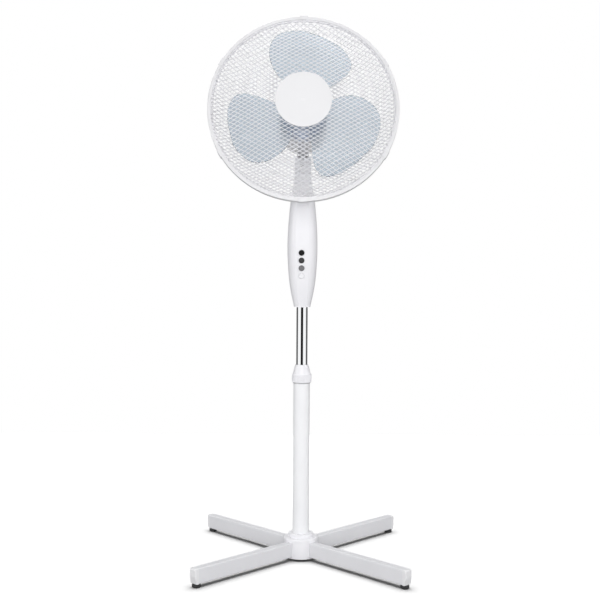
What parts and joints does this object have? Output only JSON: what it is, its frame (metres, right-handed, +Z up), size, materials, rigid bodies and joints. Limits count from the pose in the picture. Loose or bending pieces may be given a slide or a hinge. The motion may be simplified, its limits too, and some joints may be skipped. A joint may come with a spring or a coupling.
{
  "type": "pedestal fan",
  "caption": "Free-standing pedestal fan with a round mesh guard, translucent blades, a slim push-button control housing, a sliding chrome mast and a cross base.",
  "frame": {"origin": "on the floor under the axis of the mast", "axes": "+Z up; the fan blows towards -Y; +X is to the right seen from the front"},
  "size_m": [0.476, 0.476, 1.2535],
  "materials": {
    "white_plastic": "gloss",
    "head_white": "gloss",
    "motor_grey": "satin",
    "ring_white": "gloss",
    "badge_white": "gloss",
    "net_paint": "satin",
    "leg_paint": "satin",
    "white_paint": "satin",
    "tube_chrome": "polished",
    "blade_clear": "gloss",
    "foot_rubber": "matte",
    "button_black": "satin",
    "button_dark_grey": "satin",
    "button_grey": "satin",
    "fastener_steel": "satin",
    "core_iron": "matte",
    "coil_copper": "satin",
    "bell_aluminium": "matte",
    "bearing_brass": "satin",
    "grey_nylon": "matte",
    "spindle_steel": "satin"
  },
  "bodies": {
    "base": {"base_hub": "white_plastic", "base_cover": "white_plastic", "leg_caps": "white_plastic", "leg_front_left": "leg_paint", "leg_front_right": "leg_paint", "leg_rear_left": "leg_paint", "leg_rear_right": "leg_paint", "rubber_feet": "foot_rubber", "leg_screws": "fastener_steel", "base_bolt": "fastener_steel", "mast_plug": "grey_nylon", "outer_tube": "white_paint", "clamp_bush": "grey_nylon"},
    "clamp_nut": {"clamp_nut": "white_plastic"},
    "mast": {"inner_tube": "tube_chrome", "tube_guide": "grey_nylon", "control_housing_front": "white_plastic", "control_housing_rear": "white_plastic", "housing_screws": "fastener_steel", "mast_socket": "grey_nylon", "mast_screw": "fastener_steel", "switch_block": "grey_nylon", "cord_gland": "foot_rubber", "tilt_yoke": "white_plastic", "tilt_bolt": "fastener_steel", "tilt_nut": "fastener_steel"},
    "button_high": {"button_high": "button_black"},
    "button_medium": {"button_medium": "button_dark_grey"},
    "button_low": {"button_low": "button_grey"},
    "button_stop": {"button_stop": "white_plastic"},
    "neck": {"neck": "head_white", "swivel_washer": "fastener_steel"},
    "head": {"motor_frame": "bell_aluminium", "swivel_set_screw": "fastener_steel", "stator_core": "core_iron", "windings": "coil_copper", "front_end_bell": "bell_aluminium", "bearings": "bearing_brass", "motor_bolts": "fastener_steel", "gear_case": "grey_nylon", "gear_cover": "grey_nylon", "motor_front_cover": "motor_grey", "motor_cowl": "head_white", "cowl_screw": "fastener_steel", "rear_guard": "net_paint", "guard_nut": "head_white", "trim_ring": "ring_white", "guard_clips": "ring_white", "front_guard": "net_paint", "badge": "badge_white"},
    "rotor": {"rotor_shaft": "fastener_steel", "rotor_core": "core_iron", "impeller": "blade_clear", "drive_pin": "fastener_steel", "spinner_nut": "white_plastic"},
    "worm_wheel": {"worm_wheel": "grey_nylon"},
    "crank": {"crank_spindle": "spindle_steel"},
    "link": {"crank_link": "fastener_steel"},
    "knob": {"oscillation_knob": "head_white"}
  },
  "joints": [
    {"name": "clamp_turn", "type": "hinge", "parent": "base", "child": "clamp_nut", "pos_m": [0, 0, 0.43], "axis": [0, 0, 1], "range_deg": [0, 90]},
    {"name": "height_slide", "type": "slide", "parent": "base", "child": "mast", "axis": [0, 0, 1], "range_m": [-0.125, 0.075]},
    {"name": "tilt", "type": "hinge", "parent": "mast", "child": "neck", "pos_m": [0, 0, 0.9254], "axis": [1, 0, 0], "range_deg": [-15, 15]},
    {"name": "swivel", "type": "hinge", "parent": "neck", "child": "head", "pos_m": [0, 0, 0.9254], "axis": [0, 0.213, 0.977], "range_deg": [-40, 40]},
    {"name": "blade_spin", "type": "hinge", "parent": "head", "child": "rotor", "pos_m": [0, 0.02066, 1.02017], "axis": [0, -0.977, 0.213], "continuous": true},
    {"name": "worm_wheel_spin", "type": "hinge", "parent": "head", "child": "worm_wheel", "pos_m": [0.012, 0.07636, 1.00803], "axis": [0, 0.213, 0.977], "continuous": true},
    {"name": "crank_turn", "type": "hinge", "parent": "head", "child": "crank", "pos_m": [0.012, 0.07636, 1.00803], "axis": [0, 0.213, 0.977], "range_deg": [-61, 61]},
    {"name": "link_turn", "type": "hinge", "parent": "crank", "child": "link", "pos_m": [0.02112, 0.06626, 0.96725], "axis": [0, 0.213, 0.977], "range_deg": [-61, 61]},
    {"name": "knob_push", "type": "slide", "parent": "head", "child": "knob", "axis": [0, 0.213, 0.977], "range_m": [-0.007, 0]},
    {"name": "button_high_push", "type": "slide", "parent": "mast", "child": "button_high", "axis": [0, 1, 0], "range_m": [0, 0.0035], "stiffness_N_per_m": 300},
    {"name": "button_medium_push", "type": "slide", "parent": "mast", "child": "button_medium", "axis": [0, 1, 0], "range_m": [0, 0.0035], "stiffness_N_per_m": 300},
    {"name": "button_low_push", "type": "slide", "parent": "mast", "child": "button_low", "axis": [0, 1, 0], "range_m": [0, 0.0035], "stiffness_N_per_m": 300},
    {"name": "button_stop_push", "type": "slide", "parent": "mast", "child": "button_stop", "axis": [0, 1, 0], "range_m": [0, 0.0035], "stiffness_N_per_m": 300}
  ],
  "couplings": [
    {"joint": "worm_wheel_spin", "follows": "blade_spin", "ratio": 0.041667},
    {"joint": "crank_turn", "follows": "swivel", "ratio": -1.5},
    {"joint": "link_turn", "follows": "swivel", "ratio": 1.5}
  ]
}
